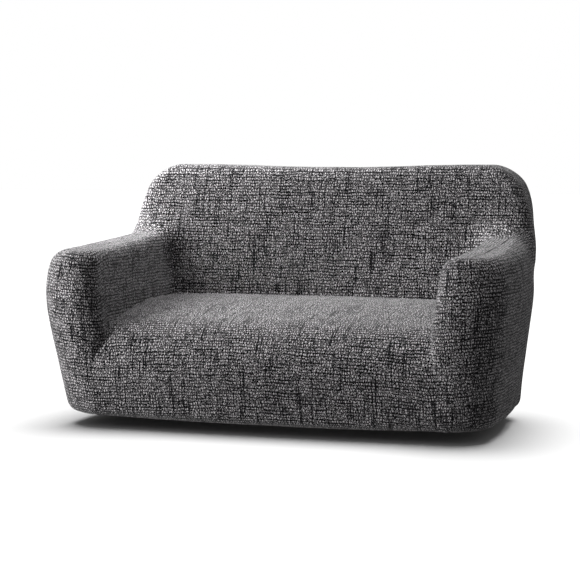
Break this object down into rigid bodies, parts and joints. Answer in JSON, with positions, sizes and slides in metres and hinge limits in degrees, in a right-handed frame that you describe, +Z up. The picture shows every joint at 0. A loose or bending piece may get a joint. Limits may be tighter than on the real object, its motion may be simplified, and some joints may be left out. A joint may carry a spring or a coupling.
{
  "type": "sofa slipcover",
  "caption": "Stretch fabric cover shaped over a small sofa: seat with front apron, inside back, outside back and arms, open underneath, with the hem turned under.",
  "frame": {"origin": "middle of the footprint's bounding box, level with the lowest edge of the hem", "axes": "+X to the sitter's left, along the sofa; -Y out of the front; +Z up"},
  "size_m": [1.4838, 0.8966, 0.7855],
  "materials": {
    "stretch_cloth": "matte, nubby black, grey and white melange"
  },
  "bodies": {
    "root": {"seat_panel": "stretch_cloth", "inside_back": "stretch_cloth", "outside_back": "stretch_cloth", "arm_right": "stretch_cloth", "arm_left": "stretch_cloth"}
  },
  "joints": []
}
